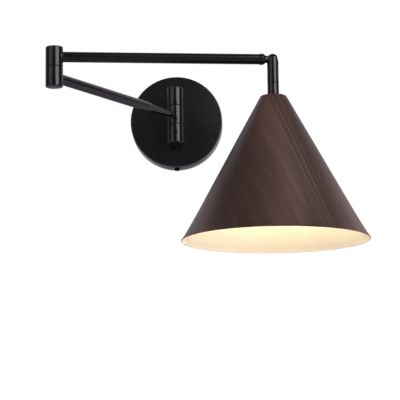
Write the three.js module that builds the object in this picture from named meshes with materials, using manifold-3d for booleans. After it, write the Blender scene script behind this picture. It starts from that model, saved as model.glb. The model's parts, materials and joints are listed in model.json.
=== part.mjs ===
// Swing arm wall sconce: a round wall canopy, a fixed post, two hinged arms and a tilting
// conical shade. Millimetres, +Z up. The wall is the plane y = 0 and the lamp stands out of
// it towards -Y. The origin is the centre of the mounting bracket's back, on the wall.
import * as THREE from 'three';
import { mergeVertices } from 'three/addons/utils/BufferGeometryUtils.js';
import Module from 'manifold-3d';

const wasm = await Module();
wasm.setup();

// Driving dimensions
const CANOPY = { radius: 58, depth: 28, sheet: 1.5, edge: 1.0 };
const BRACKET = { width: 24, sheet: 2.5, tabOuter: 53, tabDepth: 20, wallHoleZ: 41, wallHole: 9 };
const CANOPY_SCREW = { head: 3.5, headHeight: 2.2, shank: 2, length: 9, out: 13 }; // out of the wall
const EARTH_SCREW = { head: 3.2, headHeight: 2, shank: 1.9, length: 2, x: 7, z: 12 };
const SCREW_HOLE = 2.3; // radius of the holes that clear those screws
const TERMINAL = { width: 16, depth: 11, height: 9, z: -14, wire: 4, wireHole: 1.6, screwHole: 1.5 };
const STANDOFF = { radius: 6, bore: 4.3 };
const POST_STUD = { radius: 4, bore: 2.5, reach: 6.2 }; // it stops this far from the post's axis
const POST_OUT = 64; // from the wall to the post's axis
const ARM = { length: 250, radius: 6, bore: 4.7, taper: 60, tipRadius: 3.4, tipBore: 2 };
const KNUCKLE = { radius: 10, height: 23, seam: 0.7, round: 1.2, pocket: 8.4, pocketDepth: 7 };
const PIVOT = { radius: 5, bore: 3.3, clearance: 0.3, nut: 13, nutHeight: 3.5, past: 4 };
const CAP_THICKNESS = 2.5; // of the discs that close the knuckles
const WIRE_HOLE = 4.2; // radius of the hole from a knuckle into its arm
const TIP_HOLE = 2.2; // radius of that hole at the lower arm's thin end
const GRUB = { radius: 2, length: 4.6, socket: 1, start: 6.2, z: -6.5 };
const STEM = { radius: 6.6, drop: 43, seamDrop: 28.5, bore: 3.6, flatOut: 5.3, flatLean: 14 };
const SHADE = { height: 167, rim: 107, top: 14.6, flare: 1.2, flareRun: 35, round: 3, sheet: 1.2 };
const LOWER_ARM_TURN = 31.2; // degrees, from straight out of the wall towards -X
const UPPER_ARM_TURN = 6.5; // degrees, from +X towards the wall
const GAP = 0.3; // between pieces that are cut to fit each other

// Facets round a full turn
const WIDE = 72;
const ROUND = 32;
const TUBE = 24;
const SMALL = 16;

const PITCH = KNUCKLE.height + KNUCKLE.seam;
const SHOULDER = KNUCKLE.height / 2 - KNUCKLE.pocketDepth; // knuckle centre to nut seat
const PIVOT_BORE = PIVOT.radius + PIVOT.clearance;

const FINISHES = {
  black: { color: 0x1c191e, metalness: 0.4, roughness: 0.4 },
  walnut: { color: 0x4e3d38, metalness: 0.0, roughness: 0.45 },
  zinc: { color: 0xa9abae, metalness: 0.9, roughness: 0.4 },
  brass: { color: 0xb08d45, metalness: 0.9, roughness: 0.35 },
  nylon: { color: 0x1b1b1d, metalness: 0.0, roughness: 0.6 },
  porcelain: { color: 0xe9e6df, metalness: 0.0, roughness: 0.35 },
  earth: { color: 0x3f7a45, metalness: 0.5, roughness: 0.4 },
  frosted: { color: 0xfff3dc, metalness: 0.0, roughness: 0.5 },
};

// ---- solids ----

function toSolid(geometry) {
  geometry.deleteAttribute('normal');
  geometry.deleteAttribute('uv');
  const merged = mergeVertices(geometry, 1e-4);
  return new wasm.Manifold(new wasm.Mesh({
    numProp: 3,
    vertProperties: new Float32Array(merged.attributes.position.array),
    triVerts: new Uint32Array(merged.index.array),
  }));
}

function toGeometry(solid) {
  const mesh = solid.getMesh();
  const geometry = new THREE.BufferGeometry();
  geometry.setAttribute('position', new THREE.BufferAttribute(mesh.vertProperties, 3));
  geometry.setIndex(new THREE.BufferAttribute(mesh.triVerts, 1));
  geometry.computeVertexNormals();
  return geometry;
}

// A solid of revolution about Z. The profile is [radius, z] pairs, with the material on its
// left as it is walked. It starts and ends on the axis, or closes on itself.
function turned(profile, facets) {
  const points = profile.map(([radius, z]) => new THREE.Vector2(radius, z));
  if (points[0].x > 0) points.push(points[0].clone());
  return toSolid(new THREE.LatheGeometry(points, facets).rotateX(Math.PI / 2));
}

function ring(inner, outer, z0, z1, facets) {
  return turned([[inner, z0], [outer, z0], [outer, z1], [inner, z1]], facets);
}

function rod(radius, z0, z1, facets) {
  return turned([[0, z0], [radius, z0], [radius, z1], [0, z1]], facets);
}

function box(width, depth, height, x, y, z) {
  return toSolid(new THREE.BoxGeometry(width, depth, height).translate(x, y, z));
}

const alongX = (solid) => solid.rotate([0, 90, 0]); // local +Z becomes +X
const alongWall = (solid) => solid.rotate([90, 0, 0]); // local +Z becomes -Y, out of the wall
const upsideDown = (solid) => solid.rotate([180, 0, 0]);
const facing = (side, solid) => (side > 0 ? solid : upsideDown(solid)); // up or down

// Points of an arc about [radius, z], from angle a0 to a1 in degrees
function arc(radius, z, r, a0, a1, steps) {
  return Array.from({ length: steps + 1 }, (_, i) => {
    const angle = THREE.MathUtils.degToRad(a0 + (a1 - a0) * i / steps);
    return [radius + r * Math.cos(angle), z + r * Math.sin(angle)];
  });
}

function piece(name, solid, finish) {
  const mesh = new THREE.Mesh(toGeometry(solid), new THREE.MeshStandardMaterial(FINISHES[finish]));
  mesh.name = name;
  return mesh;
}

// ---- small hardware, each standing on z = 0 along +Z ----

function hexNut(acrossFlats, thickness, boreRadius) {
  const corner = acrossFlats / Math.sqrt(3);
  return rod(corner, 0, thickness, 6).subtract(rod(boreRadius, -1, thickness + 1, SMALL));
}

// A pan head screw: head above z = 0 with a cross recess, shank below
function panScrew(headRadius, headHeight, shankRadius, shankLength) {
  const head = turned([
    [0, -shankLength], [shankRadius, -shankLength], [shankRadius, 0], [headRadius, 0],
    [headRadius, headHeight * 0.6], [headRadius * 0.75, headHeight], [0, headHeight],
  ], SMALL);
  const slot = headRadius * 1.1;
  const recess = headHeight * 0.5;
  return head
    .subtract(box(slot, slot / 5, recess * 2, 0, 0, headHeight))
    .subtract(box(slot / 5, slot, recess * 2, 0, 0, headHeight));
}

// A headless socket screw
function grubScrew(radius, length, socketRadius) {
  return rod(radius, 0, length, SMALL)
    .subtract(rod(socketRadius, length - 1.5, length + 1, 6));
}

// ---- knuckles and their pivots ----

// A knuckle with one end closed by a cap: the pocket for the nut and cap is at +Z.
function cappedKnuckle() {
  const { radius, height, round, pocket } = KNUCKLE;
  const top = height / 2;
  return turned([
    [PIVOT_BORE, -top], [radius - GAP, -top], [radius, -top + GAP],
    ...arc(radius - round, top - round, round, 0, 90, 2),
    [pocket, top], [pocket, SHOULDER], [PIVOT_BORE, SHOULDER],
  ], ROUND);
}

function middleKnuckle() {
  const { radius, height } = KNUCKLE;
  const top = height / 2;
  return turned([
    [PIVOT_BORE, -top], [radius - GAP, -top], [radius, -top + GAP],
    [radius, top - GAP], [radius - GAP, top], [PIVOT_BORE, top],
  ], ROUND);
}

const pivotNut = () => hexNut(PIVOT.nut, PIVOT.nutHeight, PIVOT.radius + GAP)
  .translate([0, 0, SHOULDER + 0.1]);
const seamWasher = () => ring(PIVOT_BORE, KNUCKLE.radius - KNUCKLE.round, -0.25, 0.25, TUBE);
const pivotTube = (z0, z1) => ring(PIVOT.bore, PIVOT.radius, z0, z1, TUBE);

function knuckleCap() {
  const top = KNUCKLE.height / 2;
  return rod(KNUCKLE.pocket - GAP, top - CAP_THICKNESS, top, TUBE);
}

// The side hole that an arm or a stud opens into, out along +X
const sideHole = (radius) => alongX(rod(radius, 0, KNUCKLE.radius + 2, SMALL));

// ---- wall side ----

function bracket() {
  const { width, sheet, tabOuter, tabDepth, wallHoleZ, wallHole } = BRACKET;
  let solid = box(width, sheet, 2 * tabOuter, 0, -sheet / 2, 0);
  for (const side of [-1, 1]) {
    const tabZ = side * (tabOuter - sheet / 2);
    solid = solid
      .add(box(width, tabDepth, sheet, 0, -tabDepth / 2, tabZ))
      .subtract(rod(SCREW_HOLE, -6, 6, SMALL).translate([0, -CANOPY_SCREW.out, tabZ]))
      .subtract(box(wallHole, 20, 2 * SCREW_HOLE, 0, 0, side * wallHoleZ));
  }
  const earthHole = alongWall(rod(SCREW_HOLE, -6, 6, SMALL));
  return solid.subtract(earthHole.translate([EARTH_SCREW.x, 0, EARTH_SCREW.z]));
}

// A cup with its mouth on the wall, turned about Z and then laid along -Y
function canopyShell() {
  const { radius, depth, sheet, edge } = CANOPY;
  let shell = turned([
    [radius - sheet, 0], [radius, 0],
    ...arc(radius - edge, depth - edge, edge, 0, 90, 2),
    [0, depth], [0, depth - sheet], [radius - sheet, depth - sheet],
  ], WIDE);
  shell = alongWall(shell);
  for (const side of [-1, 1]) {
    const studHole = alongWall(rod(STANDOFF.bore, 0, depth + 5, SMALL));
    const screwHole = facing(side, rod(SCREW_HOLE, radius - 5, radius + 5, SMALL));
    shell = shell
      .subtract(studHole.translate([0, 0, side * PITCH]))
      .subtract(screwHole.translate([0, -CANOPY_SCREW.out, 0]));
  }
  return shell;
}

function canopyScrew(side) {
  const { head, headHeight, shank, length, out } = CANOPY_SCREW;
  const screw = panScrew(head, headHeight, shank, length).translate([0, 0, CANOPY.radius + GAP]);
  return facing(side, screw).translate([0, -out, 0]);
}

function earthScrew() {
  const { head, headHeight, shank, length, x, z } = EARTH_SCREW;
  const screw = alongWall(panScrew(head, headHeight, shank, length));
  return screw.translate([x, -BRACKET.sheet - 0.1, z]);
}

// The two-way screw connector that joins the lamp's lead to the supply in the wall
function terminalBlock() {
  const { width, depth, height, z, wire, wireHole, screwHole } = TERMINAL;
  const middle = BRACKET.sheet + GAP + depth / 2;
  let block = box(width, depth, height, 0, -middle, z);
  for (const x of [-wire, wire]) {
    block = block
      .subtract(rod(wireHole, z - height, z + height, SMALL).translate([x, -middle, 0]))
      .subtract(alongWall(rod(screwHole, middle, middle + depth, SMALL)).translate([x, 0, z]));
  }
  return block;
}

// Everything that carries one fixed knuckle of the post: spacer, hollow stud, washer and nut
function postSupport(prefix, side) {
  const z = side * PITCH;
  const place = (solid) => alongWall(solid).translate([0, 0, z]);
  const knuckleSpace = rod(KNUCKLE.radius + GAP, z - 20, z + 20, ROUND).translate([0, -POST_OUT, 0]);
  const inside = CANOPY.depth - CANOPY.sheet - 0.1;
  const { radius, bore, reach } = POST_STUD;
  const studEnd = POST_OUT - reach;
  const spacer = ring(STANDOFF.bore, STANDOFF.radius, CANOPY.depth + 0.1, POST_OUT, TUBE);
  const washer = ring(radius + GAP, 9, inside - 1.2, inside, TUBE);
  const nut = hexNut(12, 4, radius + GAP);
  return [
    piece(`${prefix}_standoff`, place(spacer).subtract(knuckleSpace), 'black'),
    piece(`${prefix}_post_stud`, place(ring(bore, radius, inside - 8, studEnd, SMALL)), 'zinc'),
    piece(`${prefix}_stud_washer`, place(washer), 'zinc'),
    piece(`${prefix}_stud_nut`, place(nut.translate([0, 0, inside - 5.3])), 'zinc'),
  ];
}

function fixedKnuckle(side) {
  return facing(side, cappedKnuckle()).subtract(sideHole(STANDOFF.bore).rotate([0, 0, 90]));
}

function wallMount() {
  const group = new THREE.Group();
  group.add(
    piece('mounting_bracket', bracket(), 'zinc'),
    piece('earth_screw', earthScrew(), 'earth'),
    piece('terminal_block', terminalBlock(), 'porcelain'),
    piece('canopy', canopyShell(), 'black'),
    piece('canopy_screw_top', canopyScrew(1), 'black'),
    piece('canopy_screw_bottom', canopyScrew(-1), 'black'),
    ...postSupport('upper', 1),
    ...postSupport('lower', -1),
  );

  const post = new THREE.Group();
  post.position.set(0, -POST_OUT, 0);
  const reach = PITCH + SHOULDER + PIVOT.past;
  for (const [prefix, side] of [['upper', 1], ['lower', -1]]) {
    const lift = side * PITCH;
    post.add(
      piece(`post_${prefix}_knuckle`, fixedKnuckle(side).translate([0, 0, lift]), 'black'),
      piece(`post_${prefix}_cap`, facing(side, knuckleCap()).translate([0, 0, lift]), 'black'),
      piece(`post_${prefix}_nut`, facing(side, pivotNut()).translate([0, 0, lift]), 'zinc'),
      piece(`post_${prefix}_washer`, seamWasher().translate([0, 0, lift / 2]), 'nylon'),
    );
  }
  post.add(piece('post_pivot_tube', pivotTube(-reach, reach), 'zinc'));
  group.add(post);
  return group;
}

// ---- lower arm: local origin on the post's axis, local +X along the arm ----

function lowerArmTube() {
  const { length, radius, bore, taper, tipRadius, tipBore } = ARM;
  const start = KNUCKLE.radius - 3;
  const tube = alongX(turned([
    [tipBore, start], [tipRadius, start], [radius, start + taper], [radius, length],
    [bore, length], [bore, start + taper],
  ], ROUND));
  const knuckleSpace = rod(KNUCKLE.radius + GAP, -20, 20, ROUND);
  return tube.subtract(knuckleSpace).subtract(knuckleSpace.translate([length, 0, 0]));
}

function lowerArm() {
  const group = new THREE.Group();
  const behind = (solid) => alongX(solid).rotate([0, 0, 180]).translate([0, 0, GRUB.z]);
  const grub = behind(grubScrew(GRUB.radius, GRUB.length, GRUB.socket).translate([0, 0, GRUB.start]));
  const grubHole = behind(rod(GRUB.radius + GAP, 0, KNUCKLE.radius + 2, SMALL));
  const root = middleKnuckle().subtract(sideHole(TIP_HOLE)).subtract(grubHole);
  const tip = upsideDown(cappedKnuckle()).subtract(sideHole(WIRE_HOLE).rotate([0, 0, 180]));
  const below = -SHOULDER - PIVOT.past;
  const above = PITCH + SHOULDER + PIVOT.past;
  const atElbow = (solid) => solid.translate([ARM.length, 0, 0]);
  group.add(
    piece('post_middle_knuckle', root, 'black'),
    piece('post_grub_screw', grub, 'black'),
    piece('lower_arm_tube', lowerArmTube(), 'black'),
    piece('elbow_lower_knuckle', atElbow(tip), 'black'),
    piece('elbow_lower_cap', atElbow(upsideDown(knuckleCap())), 'black'),
    piece('elbow_lower_nut', atElbow(upsideDown(pivotNut())), 'zinc'),
    piece('elbow_pivot_tube', atElbow(pivotTube(below, above)), 'zinc'),
    piece('elbow_washer', atElbow(seamWasher().translate([0, 0, PITCH / 2])), 'nylon'),
    piece('elbow_upper_nut', atElbow(pivotNut().translate([0, 0, PITCH])), 'zinc'),
  );
  return group;
}

// ---- upper arm: local origin on the elbow's axis at the arm's height, local +X along it ----

const COLLAR = { radius: 6.6, start: 235, end: 238.4, nose: 241 };
const STUD = { radius: 4.25, bore: 1.7, start: 222, seat: 244.5, neck: 2.7, end: 251 };

function armCollar() {
  const { radius, start, end, nose } = COLLAR;
  return alongX(turned([
    [STUD.radius + GAP, start], [ARM.radius + 0.1, start], [radius, start + 0.7], [radius, end],
    [STUD.radius + 0.8, nose], [STUD.radius + GAP, nose],
  ], ROUND));
}

function upperArmTube() {
  const end = COLLAR.start - 0.1;
  return alongX(ring(ARM.bore, ARM.radius, 4, end, ROUND))
    .subtract(rod(KNUCKLE.radius + GAP, -20, 20, ROUND));
}

// The hollow stud that the stem's head turns on, with a thinner end for its nut
function tiltStud() {
  const { radius, bore, start, seat, neck, end } = STUD;
  return alongX(turned([
    [bore, start], [radius, start], [radius, seat], [neck, seat], [neck, end], [bore, end],
  ], TUBE));
}

function upperArm() {
  const group = new THREE.Group();
  const knuckle = cappedKnuckle().subtract(sideHole(WIRE_HOLE));
  const nut = ring(STUD.neck + GAP, 3.9, ARM.length - 1.2, ARM.length + 0.8, TUBE);
  group.add(
    piece('elbow_upper_knuckle', knuckle, 'black'),
    piece('elbow_upper_cap', knuckleCap(), 'black'),
    piece('upper_arm_tube', upperArmTube(), 'black'),
    piece('arm_end_collar', armCollar(), 'black'),
    piece('tilt_stud', tiltStud(), 'black'),
    piece('tilt_nut', alongX(nut), 'zinc'),
  );
  return group;
}

// ---- stem and shade: local origin where the stem's axis meets the upper arm's axis, local
// +X away from the arm ----

const HEAD_ROOM = 4.3; // radius of the room for the tilt nut, open at the flat

// A round headed tube with a socket for the stud, a flat on its far side and a lead bore
function stemHead() {
  const { radius, seamDrop, bore, flatOut, flatLean } = STEM;
  const socketFloor = STUD.seat - ARM.length + GAP;
  const solid = turned([
    [0, -seamDrop], [radius, -seamDrop], ...arc(0, 0, radius, 0, 90, 6),
  ], ROUND);
  const facet = box(10, 30, 40, 5, 0, 0).rotate([0, -flatLean, 0]).translate([flatOut, 0, 0]);
  return solid
    .subtract(facet)
    .subtract(alongX(rod(STUD.radius + GAP, -12, socketFloor, TUBE)))
    .subtract(alongX(rod(STUD.neck + GAP, -12, 0, TUBE)))
    .subtract(alongX(rod(HEAD_ROOM, -1.5, 12, TUBE)))
    .subtract(rod(bore, -seamDrop - 1, 0, SMALL));
}

const NIPPLE = { radius: 4.8, bore: 3.3, top: 9, length: 30 };

function stemLower() {
  const { radius, drop, seamDrop } = STEM;
  return turned([
    [NIPPLE.radius + GAP, -drop + 0.1], [radius, -drop + 0.1], [radius, -seamDrop - 0.6],
    [radius - 0.3, -seamDrop - 0.3], [NIPPLE.radius + GAP, -seamDrop - 0.3],
  ], ROUND);
}

// The outer radius of the shade's wall at a depth below its flat top
function shadeRadius(depth) {
  const { height, rim, top, flare, flareRun } = SHADE;
  const straight = top + (rim - flare - top) * depth / height;
  const past = Math.max(0, depth - (height - flareRun)) / flareRun;
  return straight + flare * past * past;
}

function shadeShell() {
  const { height, top, flareRun, round, sheet, rim, flare } = SHADE;
  const slope = Math.atan2(rim - flare - top, height); // from vertical
  const tilt = THREE.MathUtils.radToDeg(slope);
  const tangent = round * Math.tan((Math.PI / 2 - slope) / 2);
  const shoulder = (r) => arc(top - tangent, -round, r, 90, tilt, 3);
  const depths = [0, 0.4, 0.7, 1].map((part) => height - flareRun * (1 - part));
  const outside = [...shoulder(round), ...depths.map((d) => [shadeRadius(d), -d])];
  const wall = sheet / Math.cos(slope);
  const inside = [...shoulder(round - sheet), ...depths.map((d) => [shadeRadius(d) - wall, -d])];
  const hole = NIPPLE.radius + GAP;
  return turned([[hole, -sheet], ...inside, ...outside.reverse(), [hole, 0]], WIDE);
}

const HOLDER = { top: 15, split: 29, bottom: 60, radius: 17.5, bore: 14.6 };
const BULB = { capRadius: 12.9, capTop: 35, capBottom: 61, radius: 29, bottom: 137, neck: 12.2 };

function holderCap() {
  const { top, split, radius } = HOLDER;
  return turned([
    [NIPPLE.radius + GAP, -top - 2], [radius - 5, -top - 2], [radius - 1.8, -top - 6],
    [radius - 1.8, -split], [radius, -split], [radius, -top - 5], [radius - 4, -top],
    [NIPPLE.radius + GAP, -top],
  ], ROUND);
}

function holderBody() {
  const { split, bottom, radius, bore } = HOLDER;
  const top = -split - GAP;
  return turned([
    [bore, -bottom], [radius - 0.8, -bottom], [radius, -bottom + 1.5], [radius, top],
    [4, top], [4, top - 2.5], [bore, top - 2.5],
  ], ROUND);
}

function bulbCap() {
  const { capRadius, capTop, capBottom } = BULB;
  const turns = 3;
  const pitch = 6;
  const ridges = [];
  for (let i = 0; i < turns; i += 1) {
    const z = -capTop - 5 - i * pitch;
    ridges.push([capRadius - 0.9, z], [capRadius, z - pitch / 2]);
  }
  return turned([
    [capRadius - 0.6, -capBottom], ...ridges.reverse(), [capRadius - 1.5, -capTop - 3],
    [4.6, -capTop], [4.6, -capTop - 0.8], [capRadius - 2.2, -capTop - 3.8],
    [capRadius - 2.2, -capBottom + 3.5], [capRadius - 1.3, -capBottom],
  ], TUBE);
}

// A hollow envelope with its open neck in the cap
function bulbGlass() {
  const { radius, bottom, neck, capBottom } = BULB;
  const glass = 0.9;
  const centre = -bottom + radius;
  const outer = [
    ...arc(0, centre, radius, -90, 28, 8),
    [18.6, -83], [14.2, -72], [neck - 0.9, -capBottom - 0.4],
  ];
  const inner = [
    [neck - 1.8, -capBottom - 0.4], [14.2 - glass, -72], [18.6 - glass, -83],
    ...arc(0, centre, radius - glass, 28, -90, 8),
  ];
  return turned([...outer, ...inner], TUBE);
}

function shadeHead() {
  const { drop } = STEM;
  const group = new THREE.Group();
  group.add(
    piece('stem_head', stemHead(), 'black'),
    piece('head_plug', alongX(rod(HEAD_ROOM - GAP, 2.4, 4.2, TUBE)), 'black'),
    piece('stem_lower', stemLower(), 'black'),
  );
  const below = new THREE.Group();
  below.position.set(0, 0, -drop);
  const { radius, bore, top, length } = NIPPLE;
  below.add(
    piece('nipple', ring(bore, radius, top - length, top, SMALL), 'zinc'),
    piece('shade', shadeShell(), 'walnut'),
    piece('shade_washer', ring(radius + GAP, 9.5, -2.8, -1.6, TUBE), 'zinc'),
    piece('shade_nut', hexNut(14, 4, radius + GAP).translate([0, 0, -7.1]), 'zinc'),
    piece('lampholder_cap', holderCap(), 'porcelain'),
    piece('lampholder_nut', hexNut(13, 2.6, radius + GAP).translate([0, 0, -20]), 'zinc'),
    piece('lampholder_body', holderBody(), 'porcelain'),
    piece('screw_shell', ring(13.5, 14.1, -58, -37, TUBE), 'brass'),
    piece('centre_contact', rod(3, -33, -29.5, SMALL), 'brass'),
    piece('bulb_cap', bulbCap(), 'zinc'),
    piece('bulb_contact', rod(3.6, -38, -33.6, SMALL), 'brass'),
    piece('bulb_glass', bulbGlass(), 'frosted'),
  );
  group.add(below);
  return group;
}

// ---- assembly, in its rest pose ----

function sconce() {
  const group = new THREE.Group();
  const lower = lowerArm();
  const upper = upperArm();
  const head = shadeHead();
  lower.position.set(0, -POST_OUT, 0);
  lower.rotation.z = THREE.MathUtils.degToRad(-90 - LOWER_ARM_TURN);
  upper.position.set(ARM.length, 0, PITCH);
  upper.rotation.z = THREE.MathUtils.degToRad(90 + LOWER_ARM_TURN + UPPER_ARM_TURN);
  head.position.set(ARM.length, 0, 0);
  upper.add(head);
  lower.add(upper);
  group.add(wallMount(), lower);
  return group;
}

const group = sconce();
export default group;
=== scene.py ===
"""The looks of a swing arm wall sconce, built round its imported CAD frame.

Metres, +Z up, the wall is y = 0 and the lamp stands out of it towards -Y. The pieces that
show are rebuilt here as fine meshes on the frame's own axes and sizes, and every piece gets
a procedural finish.
"""
import json
import math

import bmesh
import bpy
from mathutils import Matrix, Vector

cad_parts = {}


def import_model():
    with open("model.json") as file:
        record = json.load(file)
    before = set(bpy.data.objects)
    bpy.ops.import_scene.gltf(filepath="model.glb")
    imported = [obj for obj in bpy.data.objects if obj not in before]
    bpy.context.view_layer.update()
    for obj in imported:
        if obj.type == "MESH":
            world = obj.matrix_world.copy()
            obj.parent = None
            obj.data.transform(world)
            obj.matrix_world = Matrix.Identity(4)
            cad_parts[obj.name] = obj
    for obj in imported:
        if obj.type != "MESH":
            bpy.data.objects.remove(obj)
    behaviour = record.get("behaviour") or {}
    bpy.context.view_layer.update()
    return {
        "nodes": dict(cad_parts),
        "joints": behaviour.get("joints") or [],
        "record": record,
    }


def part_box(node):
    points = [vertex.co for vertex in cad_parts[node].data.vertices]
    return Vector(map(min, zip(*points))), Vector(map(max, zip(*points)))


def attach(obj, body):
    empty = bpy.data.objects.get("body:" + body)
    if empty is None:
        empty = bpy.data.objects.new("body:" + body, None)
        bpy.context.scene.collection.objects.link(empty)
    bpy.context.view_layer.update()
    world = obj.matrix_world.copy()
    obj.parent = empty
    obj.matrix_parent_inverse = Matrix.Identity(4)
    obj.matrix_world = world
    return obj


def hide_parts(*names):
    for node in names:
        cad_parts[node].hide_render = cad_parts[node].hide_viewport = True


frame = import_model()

MM = 0.001
ON_AXIS = 0.0001 * MM  # a radius under this is a point on the axis
GAP = 0.3 * MM  # between pieces that are cut to fit each other
X_AXIS, Y_AXIS, Z_AXIS = Vector((1, 0, 0)), Vector((0, 1, 0)), Vector((0, 0, 1))


# ---- places and sizes, from the frame ----

def size(node):
    low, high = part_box(node)
    return high - low


def middle(node):
    low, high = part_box(node)
    return (low + high) / 2


def axes_at(origin, z_axis, x_axis):
    """The matrix of a local frame at origin, with its Z and X along the given directions."""
    z = z_axis.normalized()
    y = z.cross(x_axis).normalized()
    rotation = Matrix((y.cross(z), y, z)).transposed().to_4x4()
    return Matrix.Translation(origin) @ rotation


JOINTS = {joint["name"]: joint for joint in frame["joints"]}
POST = Vector(JOINTS["wall_swing"]["pos_m"])
ELBOW = Vector(JOINTS["elbow_swing"]["pos_m"])
HEAD = Vector(JOINTS["shade_tilt"]["pos_m"])
PITCH = ELBOW.z - POST.z  # from one knuckle's centre to the next
LOWER_WAY = (Vector((ELBOW.x, ELBOW.y, POST.z)) - POST).normalized()
UPPER_WAY = (HEAD - ELBOW).normalized()
ARM_LENGTH = (HEAD - ELBOW).length

KNUCKLE_RADIUS = size("post_upper_knuckle").x / 2 - 0.02 * MM
KNUCKLE_HEIGHT = size("post_upper_knuckle").z
PIVOT_BORE = size("post_pivot_tube").x / 2 + GAP
CAP_RADIUS = size("post_upper_cap").x / 2
CAP_THICK = size("post_upper_cap").z
NUT_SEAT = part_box("post_upper_nut")[0].z - PITCH - 0.1 * MM  # above the knuckle's centre
ARM_RADIUS = size("upper_arm_tube").z / 2

LOWER_ARM = axes_at(POST, LOWER_WAY, Z_AXIS)  # local Z along the arm
UPPER_ARM = axes_at(ELBOW, UPPER_WAY, Z_AXIS)
STEM = axes_at(HEAD, Z_AXIS, UPPER_WAY)  # local X away from the arm
OUT_OF_WALL = axes_at(Vector((0, 0, 0)), -Y_AXIS, X_AXIS)


# ---- mesh building ----

def rounded(corners, steps=5):
    """An outline in which each (radius, z, fillet) corner is an arc, and (radius, z) is sharp."""
    points = []
    count = len(corners)
    for i, corner in enumerate(corners):
        here = Vector(corner[:2])
        fillet = corner[2] if len(corner) > 2 else 0
        if not fillet:
            points.append(here)
            continue
        to_last = (Vector(corners[i - 1][:2]) - here).normalized()
        to_next = (Vector(corners[(i + 1) % count][:2]) - here).normalized()
        half = to_last.angle(to_next) / 2
        centre = here + (to_last + to_next).normalized() * fillet / math.sin(half)
        start = here + to_last * fillet / math.tan(half) - centre
        turn = start.angle_signed(here + to_next * fillet / math.tan(half) - centre)
        for k in range(steps + 1):
            points.append(centre + Matrix.Rotation(-turn * k / steps, 2) @ start)
    return points


def arc(radius, z, r, start, end, steps):
    """Points of an arc about (radius, z), between two angles in degrees."""
    angles = [math.radians(start + (end - start) * k / steps) for k in range(steps + 1)]
    return [Vector((radius + r * math.cos(a), z + r * math.sin(a))) for a in angles]


def join_rings(bm, rings, closed):
    """Adds quads between neighbouring rings of vertices, and fans where a ring is one vertex."""
    pairs = list(zip(rings, rings[1:]))
    if closed:
        pairs.append((rings[-1], rings[0]))
    for a, b in pairs:
        count = max(len(a), len(b))
        for k in range(count):
            n = (k + 1) % count
            corners = [a[k % len(a)], a[n % len(a)], b[n % len(b)], b[k % len(b)]]
            corners = list(dict.fromkeys(corners))
            if len(corners) > 2:
                bm.faces.new(corners)


def turned_mesh(outline, steps=96):
    """A solid of revolution about local Z. The outline closes on itself or on the axis."""
    bm = bmesh.new()
    rings = []
    turns = [2 * math.pi * k / steps for k in range(steps)]
    for radius, z in outline:
        if radius < ON_AXIS:
            rings.append([bm.verts.new((0, 0, z))])
            continue
        rings.append([
            bm.verts.new((radius * math.cos(t), radius * math.sin(t), z)) for t in turns
        ])
    on_axis = len(rings[0]) == 1
    join_rings(bm, rings, closed=not on_axis)
    return bm


def block_mesh(low, high):
    bm = bmesh.new()
    bmesh.ops.create_cube(bm, size=1)
    low, high = Vector(low), Vector(high)
    bmesh.ops.scale(bm, vec=high - low, verts=bm.verts)
    bmesh.ops.translate(bm, vec=(low + high) / 2, verts=bm.verts)
    return bm


def smooth(mesh, sharp_degrees=32):
    mesh.polygons.foreach_set("use_smooth", [True] * len(mesh.polygons))
    mesh.set_sharp_from_angle(angle=math.radians(sharp_degrees))


def as_object(name, bm, place):
    bmesh.ops.recalc_face_normals(bm, faces=bm.faces)
    bmesh.ops.transform(bm, matrix=place, verts=bm.verts)
    mesh = bpy.data.meshes.new(name)
    bm.to_mesh(mesh)
    bm.free()
    piece = bpy.data.objects.new(name, mesh)
    bpy.context.scene.collection.objects.link(piece)
    return piece


def cut(piece, *cutters):
    """Takes the cutters, each a (mesh, place) pair, out of the piece."""
    tools = [as_object("cutter", bm, place) for bm, place in cutters]
    for tool in tools:
        modifier = piece.modifiers.new("cut", "BOOLEAN")
        modifier.operation = "DIFFERENCE"
        modifier.solver = "EXACT"
        modifier.object = tool
    shapes = bpy.context.evaluated_depsgraph_get()
    mesh = bpy.data.meshes.new_from_object(piece.evaluated_get(shapes))
    piece.modifiers.clear()
    piece.data = mesh
    for tool in tools:
        bpy.data.objects.remove(tool)
    return piece


def finished(piece, body, slot, finish, *nodes):
    """Gives the piece its finish and its body, and hides the CAD nodes it replaces. The slot
    argument is not used.
    """
    for material in finish if isinstance(finish, list) else [finish]:
        piece.data.materials.append(material)
    smooth(piece.data)
    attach(piece, body)
    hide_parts(*nodes)
    return piece


def turned(node, outline, place, body, slot, finish, steps=96):
    """A turned piece that replaces the CAD node of the same name."""
    piece = as_object(f"{node}_fine", turned_mesh(outline, steps), place)
    return finished(piece, body, slot, finish, node)


# ---- finishes ----

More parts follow.
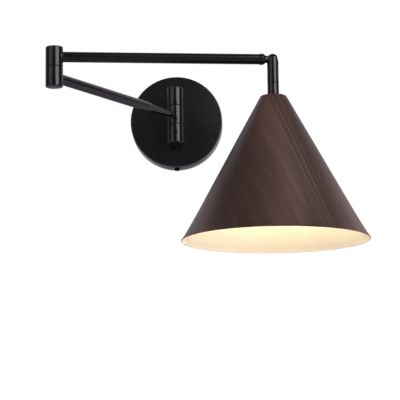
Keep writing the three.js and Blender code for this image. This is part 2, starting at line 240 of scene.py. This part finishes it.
class Nodes:
    """A material's node tree, with short ways to add and join nodes."""

    def __init__(self, name):
        self.material = bpy.data.materials.new(name)
        self.material.use_nodes = True
        self.tree = self.material.node_tree
        self.shader = self.tree.nodes["Principled BSDF"]
        self.coordinates = self.add("ShaderNodeTexCoord").outputs["Object"]

    def add(self, kind, inputs=None, **settings):
        node = self.tree.nodes.new(kind)
        for key, value in settings.items():
            setattr(node, key, value)
        for key, value in (inputs or {}).items():
            self.put(node.inputs[key], value)
        return node

    def put(self, socket, value):
        if isinstance(value, bpy.types.NodeSocket):
            self.tree.links.new(value, socket)
        else:
            socket.default_value = value

    def set(self, **values):
        for key, value in values.items():
            self.put(self.shader.inputs[key.replace("_", " ")], value)

    def noise(self, scale, detail=3.0, roughness=0.5, vector=None):
        inputs = {
            "Vector": vector or self.coordinates,
            "Scale": scale,
            "Detail": detail,
            "Roughness": roughness,
        }
        return self.add("ShaderNodeTexNoise", inputs).outputs["Fac"]

    def spread(self, value, low, high, from_low=0.3, from_high=0.7):
        """value, which runs between two levels, mapped to between low and high."""
        inputs = {
            "Value": value,
            "From Min": from_low,
            "From Max": from_high,
            "To Min": low,
            "To Max": high,
        }
        return self.add("ShaderNodeMapRange", inputs).outputs["Result"]

    def ramp(self, value, *stops):
        node = self.add("ShaderNodeValToRGB", {"Fac": value})
        elements = node.color_ramp.elements
        while len(elements) < len(stops):
            elements.new(0.5)
        for element, (position, colour) in zip(elements, stops):
            element.position = position
            element.color = (*colour, 1)
        return node.outputs["Color"]

    def blend(self, factor, first, second):
        node = self.add("ShaderNodeMix", data_type="RGBA")
        for index, value in ((0, factor), (6, first), (7, second)):
            if isinstance(value, tuple):
                value = (*value, 1)
            self.put(node.inputs[index], value)
        return node.outputs[2]

    def vector_math(self, operation, first, second):
        node = self.add("ShaderNodeVectorMath", {0: first, 1: second}, operation=operation)
        return node.outputs["Vector"]

    def bump(self, height, distance, strength):
        inputs = {"Height": height, "Distance": distance, "Strength": strength}
        self.set(Normal=self.add("ShaderNodeBump", inputs).outputs["Normal"])


def black_coat(name, roughness, shine):
    """Black powder coat: a faint orange peel and slightly uneven gloss."""
    n = Nodes(name)
    darker, lighter = (0.0026, 0.0019, 0.0034), (0.0038, 0.0029, 0.0048)
    n.set(
        Base_Color=n.ramp(n.noise(35.0), (0.35, darker), (0.65, lighter)),
        Roughness=n.spread(n.noise(300.0, detail=4.0), roughness - 0.02, roughness + 0.03),
        Specular_IOR_Level=shine,
    )
    n.bump(n.noise(700.0, detail=2.0), 0.006 * MM, 0.12)
    return n.material


GRAIN_TURN = math.radians(-18)  # of the veneer's grain, from the shade's front line
BAND_TURN = math.radians(-9)  # of its broad light and dark bands
WALNUT_TONES = {
    "deep": (0.029, 0.0125, 0.0075),
    "dark": (0.053, 0.0262, 0.0178),
    "mid": (0.094, 0.0510, 0.0365),
    "soft": (0.106, 0.0580, 0.0405),
    "light": (0.136, 0.0775, 0.0560),
    "pale": (0.190, 0.114, 0.084),
}
NONE, FULL = (0.0, 0.0, 0.0), (1.0, 1.0, 1.0)  # the ends of a mask


def grain_vector(n, sheet):
    """The sheet's coordinates turned to the grain, with a slow sideways drift."""
    turned_sheet = n.add(
        "ShaderNodeMapping", {"Vector": sheet, "Rotation": (0, 0, GRAIN_TURN)}
    ).outputs["Vector"]
    sway = n.add("ShaderNodeMapping", {"Vector": turned_sheet, "Scale": (11.0, 4.0, 1.0)})
    drift = n.add("ShaderNodeTexNoise", {
        "Vector": sway.outputs["Vector"], "Scale": 1.0, "Detail": 2.0, "Roughness": 0.45,
    }).outputs["Color"]
    centred = n.vector_math("SUBTRACT", drift, (0.5, 0.5, 0.5))
    push = n.vector_math("MULTIPLY", centred, (0.010, 0.0, 0.0))
    return n.vector_math("ADD", turned_sheet, push)


def walnut_bands_and_flank_sheen(n, sheet):
    """Broad light and dark bands of figure: dark left of the front line, light on it, dark right of
    it. The light tone at the ramp's two ends is painted sheen along the shade's left and right
    flanks.
    """
    turn = n.add("ShaderNodeMapping", {"Vector": sheet, "Rotation": (0, 0, BAND_TURN)})
    place = n.add("ShaderNodeSeparateXYZ", {0: turn.outputs["Vector"]}).outputs["X"]
    # the light stops at 0.00 and 1.00 are painted sheen on the shade's flanks; the stops between
    # are the wood's figure
    stops = (
        (0.00, "light"), (0.24, "mid"), (0.38, "dark"), (0.51, "dark"), (0.60, "mid"),
        (0.65, "soft"), (0.69, "soft"), (0.71, "mid"), (0.74, "dark"), (0.87, "dark"),
        (0.94, "mid"), (1.00, "light"),
    )
    tones = [(position, WALNUT_TONES[tone]) for position, tone in stops]
    return n.ramp(n.spread(place, 0.0, 1.0, -0.19, 0.06), *tones)


def walnut():
    """Dark walnut veneer: its grain runs straight on the shade's unrolled sheet. Its broad bands
    also paint sheen along the shade's flanks.
    """
    n = Nodes("walnut_grain_and_painted_sheen")
    deep, pale = WALNUT_TONES["deep"], WALNUT_TONES["pale"]
    sheet = n.add("ShaderNodeUVMap", uv_map="sheet").outputs["UV"]
    grain = grain_vector(n, sheet)

    def streaks(across, along, detail, roughness=0.55, shift=0.0):
        stretched = n.add("ShaderNodeMapping", {
            "Vector": grain, "Scale": (across, along, 1.0), "Location": (shift, shift, 0.0),
        }).outputs["Vector"]
        return n.noise(1.0, detail, roughness, stretched)

    clouds = streaks(30.0, 4.0, 3.0, shift=5.0)
    figure = streaks(140.0, 7.0, 4.0, shift=7.0)
    lines = streaks(600.0, 9.0, 3.0, 0.65, shift=3.0)
    pores = streaks(1700.0, 80.0, 2.0, 0.6, shift=11.0)
    # bands of figure, with painted sheen at the flanks
    wood = walnut_bands_and_flank_sheen(n, sheet)
    wood = n.blend(n.spread(clouds, 0.0, 0.45, 0.4, 0.7), wood, deep)
    wood = n.blend(n.spread(figure, 0.0, 0.40, 0.44, 0.68), wood, deep)
    wood = n.blend(n.spread(lines, 0.0, 0.30, 0.58, 0.74), wood, pale)
    # A cluster of strong streaks, right of the front line.
    across = n.add("ShaderNodeSeparateXYZ", {0: grain}).outputs["X"]
    cluster = n.ramp(
        n.spread(across, 0.0, 1.0, -0.034, 0.006),
        (0.0, NONE), (0.4, FULL), (0.6, FULL), (1.0, NONE),
    )
    sharp = streaks(850.0, 3.0, 2.0, 0.5, shift=21.0)
    lit = n.blend(cluster, NONE, n.spread(sharp, 0.0, 0.40, 0.54, 0.64))
    dim = n.blend(cluster, NONE, n.spread(sharp, 0.8, 0.0, 0.36, 0.47))
    wood = n.blend(lit, wood, pale)
    wood = n.blend(dim, wood, deep)
    wood = n.blend(n.spread(pores, 0.0, 0.35, 0.58, 0.74), wood, deep)
    n.set(Base_Color=wood, Roughness=n.spread(lines, 0.34, 0.44), Specular_IOR_Level=0.5)
    n.bump(n.spread(pores, 1.0, 0.0, 0.5, 0.75), 0.02 * MM, 0.5)
    return n.material


def enamel():
    """Warm white baked enamel inside the shade."""
    n = Nodes("white_enamel")
    n.set(
        Base_Color=n.ramp(n.noise(18.0), (0.35, (0.83, 0.79, 0.72)), (0.65, (0.86, 0.82, 0.75))),
        Roughness=n.spread(n.noise(300.0), 0.42, 0.52),
    )
    n.bump(n.noise(900.0, detail=2.0), 0.02 * MM, 0.3)
    return n.material


def plated(name, dark, light, roughness):
    """Plated or plain metal with a clouded surface and fine scratches."""
    n = Nodes(name)
    stretched = n.add(
        "ShaderNodeMapping", {"Vector": n.coordinates, "Scale": (1.0, 1.0, 14.0)}
    ).outputs["Vector"]
    brushed = n.noise(500.0, 3.0, 0.6, stretched)
    n.set(
        Base_Color=n.ramp(n.noise(90.0), (0.3, dark), (0.7, light)),
        Metallic=1.0,
        Roughness=n.spread(brushed, roughness - 0.06, roughness + 0.08),
    )
    n.bump(brushed, 0.01 * MM, 0.4)
    return n.material


def moulded(name, dark, light, roughness):
    """Moulded nylon or glazed porcelain, slightly mottled."""
    n = Nodes(name)
    n.set(
        Base_Color=n.ramp(n.noise(120.0), (0.3, dark), (0.7, light)),
        Roughness=n.spread(n.noise(400.0), roughness - 0.05, roughness + 0.05),
    )
    n.bump(n.noise(1200.0, detail=2.0), 0.02 * MM, 0.25)
    return n.material


def lit_glass():
    """The frosted bulb, lit warm white."""
    n = Nodes("frosted_glass")
    n.set(
        Base_Color=n.ramp(n.noise(60.0), (0.3, (0.80, 0.74, 0.62)), (0.7, (0.86, 0.80, 0.68))),
        Roughness=n.spread(n.noise(500.0), 0.45, 0.60),
        Emission_Color=(1.0, 0.82, 0.49, 1),
        Emission_Strength=11.5,
    )
    n.bump(n.noise(1400.0, detail=2.0), 0.02 * MM, 0.3)
    return n.material


BLACK = black_coat("black_coat", 0.11, 0.5)
SATIN = black_coat("satin_black_coat", 0.22, 0.62)
OXIDE = black_coat("black_oxide", 0.45, 0.15)
WALNUT = walnut()
ENAMEL = enamel()
ZINC = plated("zinc_plate", (0.42, 0.43, 0.45), (0.60, 0.61, 0.63), 0.34)
BRASS = plated("brass", (0.50, 0.34, 0.12), (0.66, 0.47, 0.19), 0.30)
GREEN = plated("earth_green", (0.05, 0.20, 0.06), (0.08, 0.28, 0.10), 0.38)
NYLON = moulded("black_nylon", (0.012, 0.012, 0.013), (0.020, 0.020, 0.021), 0.50)
PORCELAIN = moulded("porcelain", (0.72, 0.70, 0.65), (0.80, 0.78, 0.73), 0.22)
GLASS = lit_glass()
FINISHES = {
    "black_metal": BLACK,
    "walnut_shade": WALNUT,
    "zinc_plate": ZINC,
    "brass": BRASS,
    "earth_green": GREEN,
    "nylon": NYLON,
    "porcelain": PORCELAIN,
    "frosted_glass": GLASS,
}


# ---- wall side ----

def canopy():
    radius, depth = size("canopy").x / 2, size("canopy").y
    sheet = 1.5 * MM
    back = 0.02 * MM
    outline = rounded([
        (radius - sheet, back, 0.3 * MM), (radius, back, 0.3 * MM), (radius, depth, 1.0 * MM),
        (0, depth), (0, depth - sheet), (radius - sheet, depth - sheet, 1.0 * MM),
    ])
    turned("canopy", outline, OUT_OF_WALL, "wall_mount", "black_metal", SATIN, steps=192)


def pan_head(node, side):
    """A canopy screw, with a cross recess in its rounded head. side is 1 on top, -1 below."""
    low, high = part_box(node)
    seat = side * size("canopy").z / 2
    tip = high.z if side > 0 else -low.z
    head = tip - abs(seat) - GAP
    radius = size(node).x / 2
    shank, length = 2 * MM, 9 * MM
    place = axes_at(Vector((0, middle(node).y, seat)), side * Z_AXIS, X_AXIS)
    place = place @ Matrix.Translation((0, 0, GAP))
    outline = rounded([
        (0, -length), (shank, -length), (shank, 0), (radius, 0, 0.2 * MM),
        (radius, head, 0.9 * MM), (0, head),
    ])
    piece = as_object(f"{node}_fine", turned_mesh(outline, 64), place)
    bar, width, deep = 0.62 * radius, 0.13 * radius, head - 1.2 * MM
    cut(
        piece,
        (block_mesh((-bar, -width, deep), (bar, width, 2 * head)), place),
        (block_mesh((-width, -bar, deep), (width, bar, 2 * head)), place),
    )
    finished(piece, "wall_mount", "black_metal", OXIDE, node)


def capped_knuckle_outline():
    h, r = KNUCKLE_HEIGHT / 2, KNUCKLE_RADIUS
    pocket = CAP_RADIUS + 0.2 * MM
    return rounded([
        (PIVOT_BORE, -h), (r, -h, 0.3 * MM), (r, h, 1.2 * MM), (pocket, h, 0.15 * MM),
        (pocket, NUT_SEAT), (PIVOT_BORE, NUT_SEAT),
    ])


def cap_outline():
    top = KNUCKLE_HEIGHT / 2
    return rounded([
        (0, top - CAP_THICK), (CAP_RADIUS, top - CAP_THICK), (CAP_RADIUS, top, 0.35 * MM), (0, top),
    ])


def washer_outline():
    radius = size("post_upper_washer").x / 2
    thick = size("post_upper_washer").z / 2
    return rounded([
        (PIVOT_BORE, -thick), (radius, -thick, 0.1 * MM), (radius, thick, 0.1 * MM),
        (PIVOT_BORE, thick),
    ], steps=2)


def on_axis(point, height, up):
    """The matrix of a frame on a vertical pivot, at a height, with its Z up or down."""
    return axes_at(Vector((point.x, point.y, height)), Z_AXIS if up else -Z_AXIS, X_AXIS)


def capped_knuckle(knuckle, cap, point, height, up, body):
    place = on_axis(point, height, up)
    turned(knuckle, capped_knuckle_outline(), place, body, "black_metal", BLACK, steps=128)
    turned(cap, cap_outline(), place, body, "black_metal", BLACK)


def post():
    for part, side in (("upper", 1), ("lower", -1)):
        height = POST.z + side * PITCH
        capped_knuckle(
            f"post_{part}_knuckle", f"post_{part}_cap", POST, height, side > 0, "wall_mount"
        )
        seam = on_axis(POST, POST.z + side * PITCH / 2, True)
        turned(f"post_{part}_washer", washer_outline(), seam, "wall_mount", "nylon", NYLON)


# ---- tubes that meet a knuckle's round side ----

FLARE_STEPS = 6


def saddle_tube(node, place, body, stations, near_fillet, far=None, far_fillet=0.0, steps=72):
    """A round tube along local Z from one knuckle. Stations are (z, radius) pairs; the first
    end sits on the knuckle at z = 0, and where far is given, the last on one at z = far. Each
    such end flares by its fillet, like a ground weld. Local X is the knuckles' axis."""

    def surface(radius, turn):
        across = min(radius * math.sin(turn), 0.999 * KNUCKLE_RADIUS)
        return math.sqrt(KNUCKLE_RADIUS ** 2 - across ** 2)

    def flare(fillet, radius, k):
        angle = math.radians(90 * k / FLARE_STEPS)
        return radius + fillet * (1 - math.sin(angle)), fillet * (1 - math.cos(angle))

    turns = [2 * math.pi * k / steps for k in range(steps)]
    profiles = []
    for k in range(FLARE_STEPS + 1):
        radius, lift = flare(near_fillet, stations[0][1], k)
        profiles.append([(surface(radius, t) + lift, radius) for t in turns])
    for z, radius in stations[1:]:
        profiles.append([(z, radius)] * steps)
    if far is not None:
        for k in reversed(range(FLARE_STEPS + 1)):
            radius, lift = flare(far_fillet, stations[-1][1], k)
            profiles.append([(far - surface(radius, t) - lift, radius) for t in turns])
    bm = bmesh.new()
    rings = []
    for profile in profiles:
        rings.append([
            bm.verts.new((radius * math.cos(t), radius * math.sin(t), z))
            for t, (z, radius) in zip(turns, profile)
        ])
    join_rings(bm, rings, closed=False)
    for ring in (rings[0], rings[-1]):
        bm.faces.new(ring)
    piece = as_object(f"{node}_fine", bm, place)
    return finished(piece, body, "black_metal", BLACK, node)


def standoffs():
    for part, side in (("upper", 1), ("lower", -1)):
        node = f"{part}_standoff"
        radius = size(node).x / 2
        behind = Vector((POST.x, POST.y, side * PITCH))
        length = -POST.y - size("canopy").y
        foot = [(length - 2.5 * MM, radius), (length - 2.0 * MM, radius + 1.2 * MM),
                (length - 0.3 * MM, radius + 1.2 * MM), (length, radius + 0.9 * MM)]
        stations = [(0, radius), (KNUCKLE_RADIUS + 2 * MM, radius), *foot]
        place = axes_at(behind, Y_AXIS, Z_AXIS)
        saddle_tube(node, place, "wall_mount", stations, near_fillet=0.6 * MM)


# ---- arms ----

def lower_arm():
    middle_outline = rounded([
        (PIVOT_BORE, -KNUCKLE_HEIGHT / 2), (KNUCKLE_RADIUS, -KNUCKLE_HEIGHT / 2, 0.3 * MM),
        (KNUCKLE_RADIUS, KNUCKLE_HEIGHT / 2, 0.3 * MM), (PIVOT_BORE, KNUCKLE_HEIGHT / 2),
    ])
    turned("post_middle_knuckle", middle_outline, on_axis(POST, POST.z, True), "lower_arm",
           "black_metal", BLACK, steps=128)
    capped_knuckle("elbow_lower_knuckle", "elbow_lower_cap", ELBOW, POST.z, False, "lower_arm")
    seam = on_axis(ELBOW, ELBOW.z - PITCH / 2, True)
    turned("elbow_washer", washer_outline(), seam, "lower_arm", "nylon", NYLON)
    tip, start, full = 3.4 * MM, 7 * MM, 67 * MM
    reaches = [full - (full - start) * (1 - k / 12) for k in range(1, 13)]
    taper = [(z, tip + (ARM_RADIUS - tip) * (z - start) / (full - start)) for z in reaches]
    nearest = tip + (ARM_RADIUS - tip) * (KNUCKLE_RADIUS - start) / (full - start)
    stations = [(0, nearest), *taper, (ARM_LENGTH - KNUCKLE_RADIUS - 3 * MM, ARM_RADIUS)]
    saddle_tube("lower_arm_tube", LOWER_ARM, "lower_arm", stations, near_fillet=0.05 * MM,
                far=ARM_LENGTH, far_fillet=0.8 * MM)
    grub_screw()


def grub_screw():
    node = "post_grub_screw"
    height = middle(node).z
    place = axes_at(Vector((POST.x, POST.y, height)), -LOWER_WAY, Z_AXIS)
    radius, end = 2 * MM, KNUCKLE_RADIUS + 0.8 * MM
    start = 6.2 * MM
    outline = rounded([(0, start), (radius, start), (radius, end, 0.3 * MM), (0, end)])
    piece = as_object(f"{node}_fine", turned_mesh(outline, 48), place)
    corner, floor_of_socket = 1.05 * MM, end - 1.6 * MM
    socket = rounded([
        (0, floor_of_socket), (corner, floor_of_socket), (corner, end + MM), (0, end + MM),
    ])
    cut(piece, (turned_mesh(socket, 6), place))
    finished(piece, "lower_arm", "black_metal", BLACK, node)


def upper_arm():
    capped_knuckle("elbow_upper_knuckle", "elbow_upper_cap", ELBOW, ELBOW.z, True, "upper_arm")
    start, end, nose = 235 * MM, 238.4 * MM, 241 * MM  # of the collar, along the arm
    stations = [
        (0, ARM_RADIUS), (KNUCKLE_RADIUS + 4 * MM, ARM_RADIUS), (start - 0.4 * MM, ARM_RADIUS),
        (start - 0.1 * MM, ARM_RADIUS - 0.3 * MM),
    ]
    saddle_tube("upper_arm_tube", UPPER_ARM, "upper_arm", stations, near_fillet=0.8 * MM)
    radius = size("arm_end_collar").z / 2
    stud = size("tilt_stud").z / 2
    bore = stud + GAP
    collar = rounded([
        (bore, start), (radius, start, 0.25 * MM), (radius, end, 0.4 * MM),
        (stud + 0.9 * MM, nose, 0.3 * MM), (bore, nose),
    ])
    turned("arm_end_collar", collar, UPPER_ARM, "upper_arm", "black_metal", BLACK)
    tilt_stud(stud)


def tilt_stud(radius):
    """The hollow stud that the stem's head turns on, with a thinner end for its nut."""
    bore, neck = 1.7 * MM, 2.7 * MM
    start, seat, end = 222 * MM, ARM_LENGTH - 5.5 * MM, ARM_LENGTH + MM
    outline = rounded([
        (bore, start), (radius, start, 0.3 * MM), (radius, seat, 0.3 * MM), (neck, seat),
        (neck, end), (bore, end),
    ])
    turned("tilt_stud", outline, UPPER_ARM, "upper_arm", "black_metal", BLACK)


# ---- stem, shade and bulb ----

def drill(radius, start, end):
    """A round cutter along local Z."""
    return turned_mesh(rounded([(0, start), (radius, start), (radius, end), (0, end)]), 64)


def stem():
    radius = size("stem_lower").x / 2
    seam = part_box("stem_head")[0].z - HEAD.z
    stem_head(radius, seam)
    low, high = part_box("stem_lower")
    inner = size("nipple").x / 2 + GAP
    lower = rounded([
        (inner, low.z - HEAD.z), (radius, low.z - HEAD.z, 0.2 * MM),
        (radius, high.z - HEAD.z, 0.25 * MM), (inner, high.z - HEAD.z),
    ])
    turned("stem_lower", lower, STEM, "shade_head", "black_metal", BLACK)


def stem_head(radius, seam):
    """The stem's round head: a socket for the stud, a flat on its far side and a lead bore."""
    edge, reach = 0.25 * MM, 12 * MM
    outline = [
        Vector((0, seam)), *arc(radius - edge, seam + edge, edge, -90, 0, 4),
        *arc(0, 0, radius, 0, 88, 16), Vector((0, radius)),
    ]
    piece = as_object("stem_head_fine", turned_mesh(outline, 96), STEM)
    sideways = STEM @ Matrix.Rotation(math.radians(90), 4, "Y")
    lean = Matrix.Rotation(math.radians(-14), 4, "Y")
    flat = STEM @ Matrix.Translation((5.3 * MM, 0, 0)) @ lean
    cut(
        piece,
        (block_mesh((0, -15 * MM, -20 * MM), (10 * MM, 15 * MM, 20 * MM)), flat),
        (drill(4.5 * MM, -reach, -5.2 * MM), sideways),  # the stud's socket
        (drill(3.0 * MM, -reach, 0), sideways),  # its neck's passage
        (drill(4.3 * MM, -1.5 * MM, reach), sideways),  # room for the tilt nut
        (drill(3.6 * MM, seam - MM, 0), STEM),  # the lead's bore
    )
    finished(piece, "shade_head", "black_metal", BLACK, "stem_head")
    plug, inner, outer = 4.0 * MM, 2.4 * MM, 4.2 * MM
    disc = rounded([(0, inner), (plug, inner), (plug, outer, 0.4 * MM), (0, outer)])
    turned("head_plug", disc, sideways, "shade_head", "black_metal", BLACK, steps=64)


def shade():
    low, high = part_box("shade")
    place = STEM @ Matrix.Translation((0, 0, high.z - HEAD.z))
    rim, height = (high.x - low.x) / 2, high.z - low.z
    flare, flare_run, top, sheet = 1.2 * MM, 35 * MM, 14.6 * MM, 1.2 * MM
    shoulder = 3.0 * MM
    slope = math.atan2(rim - flare - top, height)
    wall = sheet / math.cos(slope)

    def radius_at(depth):
        past = max(0.0, depth - (height - flare_run)) / flare_run
        return top + (rim - flare - top) * depth / height + flare * past * past

    tangent = shoulder * math.tan((math.pi / 2 - slope) / 2)
    tilt = math.degrees(slope)
    hole = size("nipple").x / 2 + GAP
    depths = [height * part for part in (0.1, 0.25, 0.45, 0.65)]
    depths += [height - flare_run * (1 - k / 8) for k in range(8)]
    outer = arc(top - tangent, -shoulder, shoulder, 90, tilt, 10)
    outer += [Vector((radius_at(d), -d)) for d in depths]
    inner = arc(top - tangent, -shoulder, shoulder - sheet, 90, tilt, 10)
    inner += [Vector((radius_at(d) - wall, -d)) for d in depths]
    lip_middle = radius_at(height) - wall / 2
    lip = arc(lip_middle, -height + wall / 2, wall / 2, 0, -180, 8)
    outline = [Vector((hole, 0)), *outer, *lip, *reversed(inner), Vector((hole, -sheet))]
    steps = 256
    bm = turned_mesh(outline, steps)
    unroll(bm, top / math.tan(slope), math.sin(slope))
    inside = len(outer) + 1 + len(lip) // 2
    bm.faces.ensure_lookup_table()
    for index, face in enumerate(bm.faces):
        face.material_index = 0 if index // steps < inside else 1
    piece = as_object("shade_fine", bm, place)
    finished(piece, "shade_head", "walnut_shade", [WALNUT, ENAMEL], "shade")


def unroll(bm, apex_height, slant):
    """UVs in metres on the cone's unrolled sheet, with its join at the wall side (+Y). slant is
    the sine of the angle between the cone's axis and its side."""
    layer = bm.loops.layers.uv.new("sheet")
    for face in bm.faces:
        centre = face.calc_center_median()
        centre_turn = math.atan2(centre.x, -centre.y)
        for loop in face.loops:
            x, y, z = loop.vert.co
            turn = math.atan2(x, -y)
            if turn - centre_turn > math.pi:
                turn -= 2 * math.pi
            elif centre_turn - turn > math.pi:
                turn += 2 * math.pi
            reach = (apex_height - z) / math.cos(math.asin(slant))
            angle = turn * slant
            loop[layer].uv = (reach * math.sin(angle), -reach * math.cos(angle))


def lampholder():
    place = STEM @ Matrix.Translation((0, 0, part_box("shade")[1].z - HEAD.z))
    hole = size("nipple").x / 2 + GAP
    radius = size("lampholder_body").x / 2
    top, split, bottom = -15 * MM, -29 * MM, -60 * MM
    cap = rounded([
        (hole, top - 2 * MM), (radius - 5 * MM, top - 2 * MM), (radius - 1.8 * MM, top - 6 * MM),
        (radius - 1.8 * MM, split), (radius, split, 0.4 * MM), (radius, top - 5 * MM, 2 * MM),
        (radius - 4 * MM, top, 2 * MM), (hole, top),
    ])
    turned("lampholder_cap", cap, place, "shade_head", "porcelain", PORCELAIN)
    seat, deck, bore_radius, wire_hole = split - GAP, 2.5 * MM, 14.6 * MM, 4 * MM
    body = rounded([
        (bore_radius, bottom, 0.4 * MM), (radius, bottom, 1.2 * MM), (radius, seat, 0.4 * MM),
        (wire_hole, seat), (wire_hole, seat - deck), (bore_radius, seat - deck),
    ])
    turned("lampholder_body", body, place, "shade_head", "porcelain", PORCELAIN)


def bulb():
    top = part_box("shade")[1].z - HEAD.z
    place = STEM @ Matrix.Translation((0, 0, top))
    radius, glass, neck = 29 * MM, 0.9 * MM, 12.2 * MM
    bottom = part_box("bulb_glass")[0].z - HEAD.z - top
    centre = bottom + radius
    outer = [
        *arc(0, centre, radius, -90, 26, 28), Vector((18.4 * MM, -82 * MM)),
        Vector((15.4 * MM, -75 * MM)), Vector((13.2 * MM, -69 * MM)),
        Vector((neck - 0.9 * MM, -61.4 * MM)),
    ]
    inner = [
        Vector((neck - 1.8 * MM, -61.4 * MM)), Vector((12.3 * MM, -69 * MM)),
        Vector((14.5 * MM, -75 * MM)), Vector((17.5 * MM, -82 * MM)),
        *arc(0, centre, radius - glass, 26, -90, 28),
    ]
    turned("bulb_glass", outer + inner, place, "shade_head", "frosted_glass", GLASS)


# ---- frame pieces that stay ----

def dress_frame():
    """Gives every CAD node that still shows its finish and softened edges."""
    slots = {part["node"]: part["material_slot"] for part in frame["record"]["subparts"]}
    for node, piece in frame["nodes"].items():
        piece.data.materials.clear()
        piece.data.materials.append(FINISHES[slots[node]])
        bevel = piece.modifiers.new("soft_edges", "BEVEL")
        bevel.width = 0.2 * MM
        bevel.segments = 2
        bevel.limit_method = "ANGLE"
        bevel.angle_limit = math.radians(40)


# ---- studio ----

CAMERA = {
    "aim": Vector((0.0304, -0.100, -0.1134)),
    "distance": 2.2225,
    "azimuth": math.radians(1.23),
    "elevation": math.radians(-9.62),
    "roll": math.radians(-0.64),
    "lens": 164.3,
}
FLOOR_HEIGHT = -1.35
# How bright the room is: in front of the lamp and behind it, and then low down
FRONT, BEHIND = 0.13, 0.56
LOW_FRONT, LOW_BESIDE, LOW_BEHIND = 0.34, 0.58, 0.27
ROOM_TINT = (1, 0.93, 1.04, 1)
LILAC = (1.0, 0.95, 1.0)


def camera():
    azimuth, elevation = CAMERA["azimuth"], CAMERA["elevation"]
    back = Vector((
        math.sin(azimuth) * math.cos(elevation),
        -math.cos(azimuth) * math.cos(elevation),
        math.sin(elevation),
    ))
    data = bpy.data.cameras.new("camera")
    data.lens = CAMERA["lens"]
    data.clip_end = 100.0
    eye = bpy.data.objects.new("camera", data)
    right = Z_AXIS.cross(back)
    place = axes_at(CAMERA["aim"] + back * CAMERA["distance"], back, right)
    eye.matrix_world = place @ Matrix.Rotation(CAMERA["roll"], 4, "Z")
    bpy.context.scene.collection.objects.link(eye)
    bpy.context.scene.camera = eye


def soft_light(name, azimuth, elevation, width, height, radiance):
    """A soft box that faces the lamp from an azimuth, counted from the front towards +X."""
    distance = 3.2
    target = Vector((0.03, -0.15, -0.05))
    a, e = math.radians(azimuth), math.radians(elevation)
    way = Vector((math.sin(a) * math.cos(e), -math.cos(a) * math.cos(e), math.sin(e)))
    data = bpy.data.lights.new(name, "AREA")
    data.shape = "RECTANGLE"
    data.size, data.size_y = width, height
    data.energy = radiance * width * height * math.pi
    data.color = LILAC
    lamp = bpy.data.objects.new(name, data)
    lamp.matrix_world = axes_at(target + way * distance, way, Z_AXIS.cross(way))
    lamp.visible_camera = False
    bpy.context.scene.collection.objects.link(lamp)


def world():
    """White to the camera. To the lamp it is a dim room, lighter behind it, and low down
    lighter beside it."""
    studio = bpy.data.worlds.new("studio")
    bpy.context.scene.world = studio
    studio.use_nodes = True
    tree = studio.node_tree

    def add(kind, *inputs, **settings):
        node = tree.nodes.new(kind)
        for key, value in settings.items():
            setattr(node, key, value)
        for key, value in inputs:
            if isinstance(value, bpy.types.NodeSocket):
                tree.links.new(value, node.inputs[key])
            else:
                node.inputs[key].default_value = value
        return node.outputs[0]

    def level(part, *ends):
        names = ("From Min", "From Max", "To Min", "To Max")
        return add("ShaderNodeMapRange", ("Value", part), *zip(names, ends))

    way = tree.nodes.new("ShaderNodeTexCoord").outputs["Generated"]
    parts = tree.nodes.new("ShaderNodeSeparateXYZ")
    tree.links.new(way, parts.inputs[0])
    high = level(parts.outputs["Y"], 0.37, 0.50, FRONT, BEHIND)
    beside = level(parts.outputs["X"], 0.35, 0.70, LOW_FRONT, LOW_BESIDE)
    far_behind = level(parts.outputs["Y"], 0.65, 0.95, 0.0, 1.0)
    low = add("ShaderNodeMix", (0, far_behind), (2, beside), (3, LOW_BEHIND))
    below = level(parts.outputs["Z"], -0.02, -0.12, 0.0, 1.0)
    room = add("ShaderNodeMix", (0, below), (2, high), (3, low))
    seen = add("ShaderNodeLightPath")
    strength = add("ShaderNodeMix", (0, seen), (2, room), (3, 1.0))
    tint = tree.nodes.new("ShaderNodeMix")
    tint.data_type = "RGBA"
    tint.inputs[6].default_value, tint.inputs[7].default_value = ROOM_TINT, (1, 1, 1, 1)
    tree.links.new(seen, tint.inputs[0])
    tree.links.new(tint.outputs[2], tree.nodes["Background"].inputs["Color"])
    tree.links.new(strength, tree.nodes["Background"].inputs["Strength"])


def floor():
    """A pale floor that neither lights the lamp nor is mirrored in it."""
    n = Nodes("pale_floor")
    n.set(
        Base_Color=n.ramp(n.noise(2.0), (0.3, (0.80, 0.80, 0.80)), (0.7, (0.84, 0.84, 0.84))),
        Roughness=0.8,
        Emission_Color=(1.0, 1.0, 1.0, 1),
        Emission_Strength=0.42,
    )
    bm = bmesh.new()
    bmesh.ops.create_grid(bm, x_segments=1, y_segments=1, size=12.0)
    piece = as_object("floor", bm, Matrix.Translation((0, 0, FLOOR_HEIGHT)))
    piece.data.materials.append(n.material)
    piece.visible_glossy = False
    piece.visible_diffuse = False


def studio():
    soft_light("right_box", 43, 20, 2.5, 3.4, 3.8)
    soft_light("right_spill", 13, 36, 0.6, 3.0, 0.30)
    soft_light("left_box", -44, 20, 2.6, 3.4, 0.85)
    scene = bpy.context.scene
    scene.view_settings.view_transform = "Standard"
    scene.view_settings.look = "None"


canopy()
pan_head("canopy_screw_top", 1)
pan_head("canopy_screw_bottom", -1)
standoffs()
post()
lower_arm()
upper_arm()
stem()
shade()
lampholder()
bulb()
dress_frame()
camera()
world()
floor()
studio()
